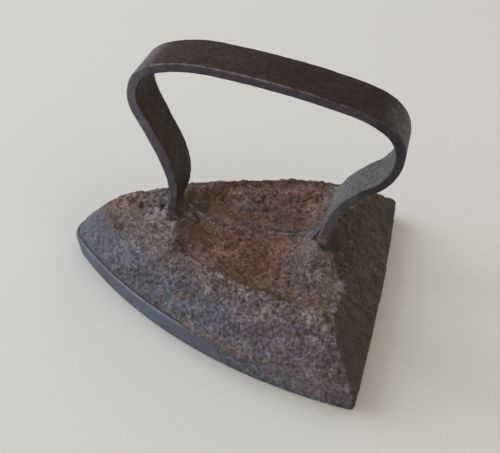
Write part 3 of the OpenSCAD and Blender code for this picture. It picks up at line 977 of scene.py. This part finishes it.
def make_sole():
    plan = sole_outline()
    along = np.roll(plan, -1, axis=0) - np.roll(plan, 1, axis=0)
    inward = np.stack([-along[:, 1], along[:, 0]], axis=1) / np.linalg.norm(along, axis=1)[:, None]
    lip = REAR_LIP_RADIUS + (FRONT_LIP_RADIUS - REAR_LIP_RADIUS) * ease(-32, -20, plan[:, 0])
    rows = [
        np.column_stack([plan + inward * (inset + SOLE_ROOM)[:, None], height])
        for inset, height in sole_profile(lip)
    ]
    piece = ring_mesh("sole_band", np.array(rows))
    points = read_points(piece, "co") / MM
    normal = read_points(piece, "normal")
    x, z = points[:, 0], points[:, 2]
    ahead, up = normal[:, 0], normal[:, 2]

    mottled = ease(-6, -22, x)
    smooth_top = SOLE_TOP + SMOOTH_OVER - SMOOTH_FALL * ease(-26, -44, x)
    smooth_top -= SMOOTH_REAR_FALL * ease(-44, -62, x)
    smooth_top += SMOOTH_WANDER * lumps(points, size=6, seed=81)
    smooth_top += SMOOTH_RAGGED * mottled * fractal(points * RAGGED_STRETCH, size=3, seed=82, octaves=2)
    rough_zone = ease(smooth_top - SMOOTH_BLUR, smooth_top + SMOOTH_BLUR, z)
    # faces turned from the lamp, and the rear ledge, are painted dark as the heel
    ledge = ease(-66, -69, x) * ease(0.2, 0.5, up)
    heel = np.maximum(ease(-0.15, -0.5, ahead), ledge)
    wall = ease(0.5, 1.6, z) * (1 - np.abs(up)) * ease(SOLE_TOP, SOLE_TOP - 0.6, z)
    strokes = fractal(points * WALL_STRETCH, size=1.8, seed=95, octaves=2, gain=0.7)
    rough = WALL_SCALES * crust(points, size=4.5, seed=91) + WALL_STROKES * strokes
    gentle = GENTLE_BROAD * lumps(points, size=14, seed=97) + GENTLE_FINE * lumps(points, size=3, seed=98)
    shares = [rough_zone * (1 - HEEL_SMOOTHING * heel), HEEL_ROUGH * heel, MOTTLED_ROUGH * mottled]
    points += normal * ((rough * np.maximum.reduce(shares) + gentle) * wall)[:, None]
    move_points(piece, points)

    paint(piece, "relief", RELIEF_LEVEL + RELIEF_SPREAD * (rough - rough.mean()) / rough.std())
    # painted shadow on the ledge along the seam, and painted highlight on the rounded lip
    paint(piece, "seam", SEAM_SHARE * (up > LEDGE_TILT) * ease(*SEAM_RUN, x))
    paint(piece, "lip", ease(0.15, 0.5, up) * (up < LEDGE_TILT) * ease(-30, -20, x))
    paint(piece, "rough_zone", rough_zone)
    paint(piece, "mottled", mottled)
    paint(piece, "blue", blue_share(points))
    paint(piece, "heel", np.maximum(heel, PLATE_HEEL_TINT * ease(-56, -68, x)))
    settle(piece, "sole_plate", sole_material())


# The handle: a forged flat bar with worn edges, painted with a highlight where they catch the light

STRAP_STEP = 0.5
STRAP_WIDTH = 18.0
LEG_WIDTH = 16.6
STRAP_THICKNESS = 3.6
LEG_THICKNESS = 4.4
BEND_THICKNESS = 3.9
TANG_WIDTH = 11.0
TANG_THICKNESS = 4.0
RIVET_SPREAD = 2.4
RIVET_HEIGHT = 4.0
STRAP_EDGE_RADIUS = 0.75
FOOT_Z = 30.0
FOOT_RUN = 6.6
FRONT_REACH = 26.3
REAR_REACH = -74.8
STRAP_RISE = GRIP_TOP - STRAP_THICKNESS / 2 - FOOT_Z
# where the grip starts to widen, and over what height
GRIP_START = FOOT_Z + 0.6 * STRAP_RISE
GRIP_WIDENING = 0.25 * STRAP_RISE
# points on a corner, across a face and across an edge of the bar's section
CORNER_POINTS, FACE_POINTS, EDGE_POINTS = 4, 32, 8
# knots of the bar's middle line between its feet: share of the reach, share of the rise, thickness
STRAP_KNOTS = [
    (0.888, 0.230, STRAP_THICKNESS),
    (0.881, 0.345, LEG_THICKNESS),
    (0.899, 0.480, LEG_THICKNESS + 0.3),
    (0.942, 0.635, LEG_THICKNESS),
    (0.973, 0.745, LEG_THICKNESS - 0.3),
    (0.9805, 0.815, BEND_THICKNESS),
    (0.965, 0.885, BEND_THICKNESS),
    (0.926, 0.945, BEND_THICKNESS),
    (0.850, 0.984, STRAP_THICKNESS),
    (0.735, 1.000, STRAP_THICKNESS),
    (0.600, 0.988, STRAP_THICKNESS),
    (0.440, 0.958, STRAP_THICKNESS),
    (0.280, 0.918, STRAP_THICKNESS),
    (0.160, 0.878, STRAP_THICKNESS),
    (0.083, 0.833, BEND_THICKNESS),
    (0.034, 0.770, BEND_THICKNESS),
    (0.018, 0.690, BEND_THICKNESS),
    (0.029, 0.605, STRAP_THICKNESS),
    (0.066, 0.525, STRAP_THICKNESS),
    (0.130, 0.458, STRAP_THICKNESS),
    (0.190, 0.378, STRAP_THICKNESS),
    (0.231, 0.285, STRAP_THICKNESS),
    (0.255, 0.180, STRAP_THICKNESS),
]
# how far the legs lean back over their feet, and over what share of the rise
FRONT_LEAN = (1.5, 0.08)
REAR_LEAN = (0.9, 0.05)
# how far below the feet the line is led in
FOOT_LEAD = 8


def strap_foot(x, lean, lean_rise):
    """Knots of one foot, from below it to where the leg starts to lean."""
    run = FOOT_Z + FOOT_RUN
    upright = [(x, z, TANG_THICKNESS) for z in (FOOT_Z - FOOT_LEAD, FOOT_Z, run)]
    return upright + [(x - lean, run + lean_rise * STRAP_RISE, TANG_THICKNESS)]


def strap_line():
    """Middle line of the bar, from the front foot over the grip to the rear foot."""
    reach = FRONT_REACH - REAR_REACH
    front = strap_foot(FRONT_FOOT_X, *FRONT_LEAN)
    bow = [(REAR_REACH + along * reach, FOOT_Z + up * STRAP_RISE, t) for along, up, t in STRAP_KNOTS]
    rear = strap_foot(REAR_FOOT_X, *REAR_LEAN)
    return np.array(front + bow + rear[::-1])


def smooth_line(knots, steps=16):
    """A smooth curve through the knots but the first and last, which only set its ends' direction."""
    u = np.linspace(0, 1, steps, endpoint=False)[:, None]
    runs = [
        0.5 * (2 * a + (b - p) * u + (2 * p - 5 * a + 4 * b - q) * u**2 + (3 * a - p - 3 * b + q) * u**3)
        for p, a, b, q in zip(knots[:-3], knots[1:-2], knots[2:-1], knots[3:])
    ]
    return np.vstack([*runs, knots[-2:-1]])


def rivet_growth(z):
    return RIVET_SPREAD * np.clip((SOLE_TOP + RIVET_HEIGHT - z) / RIVET_HEIGHT, 0, 1)


def strap_half_width(z):
    """Half the bar's width at a height: drawn in to the tang at the feet, spread at the riveted ends."""
    drawn = ease(FOOT_Z + FOOT_RUN + 0.5, FOOT_Z + 0.27 * STRAP_RISE, z)
    leg = TANG_WIDTH + (LEG_WIDTH - TANG_WIDTH) * drawn
    grip = np.clip((z - GRIP_START) / GRIP_WIDENING, 0, 1)
    return (leg + (STRAP_WIDTH - LEG_WIDTH) * grip) / 2 + rivet_growth(z)


def strap_section():
    """Ring of (face, edge, corner) terms: shares of half thickness and half width, and the rounding."""
    corner = np.linspace(0, math.pi / 2, CORNER_POINTS)
    across = np.linspace(-1, 1, FACE_POINTS)[1:-1]
    deep = np.linspace(-1, 1, EDGE_POINTS)[1:-1]
    ring = []
    for sign_t, sign_w, turn in ((1, 1, 0), (-1, 1, 1), (-1, -1, 2), (1, -1, 3)):
        for a in corner if turn % 2 == 0 else corner[::-1]:
            ring.append((sign_t, sign_w, sign_t * math.cos(a), sign_w * math.sin(a)))
        side = deep if turn % 2 == 0 else across
        for v in side[::-1] if turn < 2 else side:
            ring.append((v, sign_w, 0, sign_w) if turn % 2 == 0 else (sign_t, v, sign_t, 0))
    return np.array(ring)


# Roughness of the bar, more towards its feet and none inside the body
STRAP_BROAD, STRAP_FINE, STRAP_SUNK = 0.16, 0.07, 0.12
FOOT_GRIT, FOOT_SCALES = 0.26, 0.16
STRAP_RELIEF_ROUNDS = 6


def make_handle():
    ends = np.arange(SOLE_TOP, FOOT_Z, STRAP_STEP)
    line = evenly(smooth_line(strap_line()), STRAP_STEP)
    front_tang = [(FRONT_FOOT_X, z, TANG_THICKNESS) for z in ends]
    rear_tang = [(REAR_FOOT_X, z, TANG_THICKNESS) for z in ends[::-1]]
    line = np.vstack([front_tang, line, rear_tang])
    lead = np.gradient(line[:, :2], axis=0)
    lead /= np.linalg.norm(lead, axis=1)[:, None]
    half_depth = line[:, 2] / 2 + rivet_growth(line[:, 1]) - STRAP_EDGE_RADIUS
    half_width = strap_half_width(line[:, 1]) - STRAP_EDGE_RADIUS
    ring = strap_section()
    out = half_depth[:, None] * ring[:, 0] + STRAP_EDGE_RADIUS * ring[:, 2]
    wide = half_width[:, None] * ring[:, 1] + STRAP_EDGE_RADIUS * ring[:, 3]
    rows = np.stack([line[:, :1] + lead[:, 1:] * out, wide, line[:, 1:2] - lead[:, :1] * out], axis=2)
    piece = ring_mesh("forged_handle", rows)
    points = read_points(piece, "co") / MM
    normal = read_points(piece, "normal")
    z = points[:, 2]
    foot = ease(RIM_Z + 46, RIM_Z + 8, z)
    grit = FOOT_GRIT * fractal(points, size=3.2, seed=111)
    rough = STRAP_BROAD * lumps(points, size=13, seed=101)
    rough += STRAP_FINE * fractal(points, size=3, seed=105, octaves=2) - STRAP_SUNK
    rough += foot * (grit + FOOT_SCALES * crust(points, size=4, seed=115))
    points += normal * (rough * ease(RIM_Z - 6, RIM_Z - 2, z))[:, None]
    move_points(piece, points)
    paint_relief(piece, points, STRAP_RELIEF_ROUNDS)
    paint(piece, "foot", foot)
    paint_strap(piece, points, normal)
    settle(piece, "handle_bow", strap_material())


# Amounts of wear with painted highlight, crust and colour on the bar, and where its rear leg starts
REAR_EDGE_FADE = 0.5
WEAR_AND_HIGHLIGHT_STRENGTH = 0.8
REAR_LEG_RUN = (-30, -40)
# crust on the lower legs
LEG_CRUST = 0.3
EDGE_CRUST = 0.6
TIP_BARE = 0.8
# navy along the rear leg's edges
NAVY_LEAST, NAVY_MORE, NAVY_TIP = 0.05, 0.7, 0.9
# painted light in grey on the front outside and the front bend, and olive on the bends
FRONT_OUTSIDE_GREY, FRONT_BEND_GREY = 0.7, 0.6
OLIVE_BASE, OLIVE_FRONT = 0.10, 0.16


def paint_strap(piece, points, normal):
    """Where the bar is worn with painted highlight, crusty or tinted, and where painted light lies on it
    in grey.
    """
    x, z = points[:, 0], points[:, 2]
    turn, up = normal[:, 0], normal[:, 2]
    sideways = np.abs(normal[:, 1])
    rear_edge = ease(-50, -66, x) * ease(58, 72, z)
    paint(piece, "edge", ease(0.6, 0.85, sideways) * (1 - REAR_EDGE_FADE * rear_edge))
    # painted highlight, with wear, on the upper rounded edges
    wear_and_highlight = window(0.25, 0.5, 0.8, 0.95, sideways) * ease(0.1, 0.5, up) * ease(-66, -20, x)
    paint(piece, "wear_and_highlight", wear_and_highlight * WEAR_AND_HIGHLIGHT_STRENGTH)
    rear_side = ease(*REAR_LEG_RUN, x) * ease(-0.8, -0.3, turn)
    rear_near = ease(-40, -48, x) * ease(0.55, 0.8, sideways)
    rear_tip = ease(RIM_Z + 4, RIM_Z, z)
    low_leg = LEG_CRUST * ease(RIM_Z + 14, RIM_Z + 3, z)
    low_leg = np.maximum(low_leg, rear_side * ease(RIM_Z + 40, RIM_Z + 8, z))
    low_leg = np.maximum(low_leg, EDGE_CRUST * rear_near * ease(RIM_Z + 16, RIM_Z + 6, z))
    paint(piece, "crusty", low_leg * (1 - TIP_BARE * rear_near * rear_tip))
    rear_leg = ease(RIM_Z + 62, RIM_Z + 42, z) * (NAVY_LEAST + NAVY_MORE * ease(RIM_Z + 5, RIM_Z + 24, z))
    paint(piece, "navy", rear_near * np.maximum(rear_leg, NAVY_TIP * rear_tip))
    paint(piece, "umber", ease(0, 8, x) * ease(-0.3, -0.6, turn))
    # painted light, in grey and sage, on the rear leg's inside and the front's outside, which face the
    # lamp, and on the front bend
    rear_inside = ease(*REAR_LEG_RUN, x) * ease(0.2, 0.5, turn) * ease(GRIP_TOP - 18, GRIP_TOP - 26, z)
    front_outside = ease(10, 20, x) * ease(0.05, 0.4, turn)
    front_bend = ease(12, 20, x) * ease(60, 85, z) * ease(0.5, 0.8, normal[:, 1])
    paint(piece, "lit_grey", rear_inside + FRONT_OUTSIDE_GREY * front_outside + FRONT_BEND_GREY * front_bend)
    paint(piece, "sage", rear_inside)
    rear_bend = ease(-64, -74, x) * ease(-0.1, -0.5, turn)
    paint(piece, "olive", rear_bend + OLIVE_BASE + OLIVE_FRONT * ease(-44, -10, x))


# Stage, light and camera

# half the floor's side, in metres
FLOOR_REACH = 3.0


def make_floor():
    mesh = bpy.data.meshes.new("floor")
    reach = FLOOR_REACH
    corners = [(-reach, -reach, 0), (reach, -reach, 0), (reach, reach, 0), (-reach, reach, 0)]
    mesh.from_pydata(corners, [], [(0, 1, 2, 3)])
    floor = new_object("floor", mesh)
    s = Shader("pale_worktop")
    speck = s.noise(1.2, 3.3, detail=2)
    colour = s.mix(s.spread(speck, 0.68, 0.76, 0.0, 0.35), FLOOR_COLOUR, SPECK_COLOUR)
    mesh.materials.append(s.finish(colour, roughness=0.6, height=speck, bump_size=0.01, specular=0.2))


# lamps: name, place in metres, power in watts, size in metres, colour
LAMPS = [
    ("window", Vector((1.7, -0.2, 1.35)), 30.0, 1.8, (0.90, 0.98, 1.10)),
    ("warm_wall", Vector((-1.6, 0.6, 0.9)), 7.6, 1.2, (1.0, 0.84, 0.56)),
]
SKY_COLOUR = (1.08, 0.98, 0.84)
SKY_STRENGTH = 0.66


def make_lamp(name, place, power, size, colour):
    """A soft square lamp that faces the iron."""
    lamp = bpy.data.lights.new(name, "AREA")
    lamp.energy = power
    lamp.size = size
    lamp.color = colour
    holder = new_object(name, lamp)
    holder.location = place
    holder.rotation_euler = (-place).to_track_quat("-Z", "Y").to_euler()


def make_light():
    for lamp in LAMPS:
        make_lamp(*lamp)
    world = bpy.data.worlds.new("room")
    world.use_nodes = True
    sky = world.node_tree.nodes["Background"]
    sky.inputs["Color"].default_value = (*SKY_COLOUR, 1)
    sky.inputs["Strength"].default_value = SKY_STRENGTH
    bpy.context.scene.world = world


# where the photograph was taken from, worked out from the outline of the iron in it; angles in degrees
CAMERA_AZIMUTH = 199.584
CAMERA_HEIGHT = 44.203
CAMERA_ROLL = -3.638
CAMERA_DISTANCE = 261.0
CAMERA_TARGET = Vector((-15.07, 0.0, 32.38))
FOCAL_PIXELS = 608.1
IMAGE_WIDTH = 500
# nearest thing the camera sees, in metres
CAMERA_NEAR = 0.01


def make_camera():
    az, el, roll = (math.radians(a) for a in (CAMERA_AZIMUTH, CAMERA_HEIGHT, CAMERA_ROLL))
    back = Vector((math.sin(az) * math.cos(el), -math.cos(az) * math.cos(el), math.sin(el)))
    right = (-back).cross(Vector((0, 0, 1))).normalized()
    up = right.cross(-back)
    tilted_right = right * math.cos(roll) + up * math.sin(roll)
    tilted_up = up * math.cos(roll) - right * math.sin(roll)
    lens = bpy.data.cameras.new("camera")
    lens.sensor_fit = "HORIZONTAL"
    lens.lens = FOCAL_PIXELS * lens.sensor_width / IMAGE_WIDTH
    lens.clip_start = CAMERA_NEAR
    camera = new_object("camera", lens)
    turn = Matrix((tilted_right, tilted_up, back)).transposed().to_4x4()
    camera.matrix_world = Matrix.Translation((CAMERA_TARGET + back * CAMERA_DISTANCE) * MM) @ turn
    bpy.context.scene.camera = camera


make_body()
make_sole()
make_handle()
make_floor()
make_light()
make_camera()
bpy.context.scene.view_settings.view_transform = "Standard"
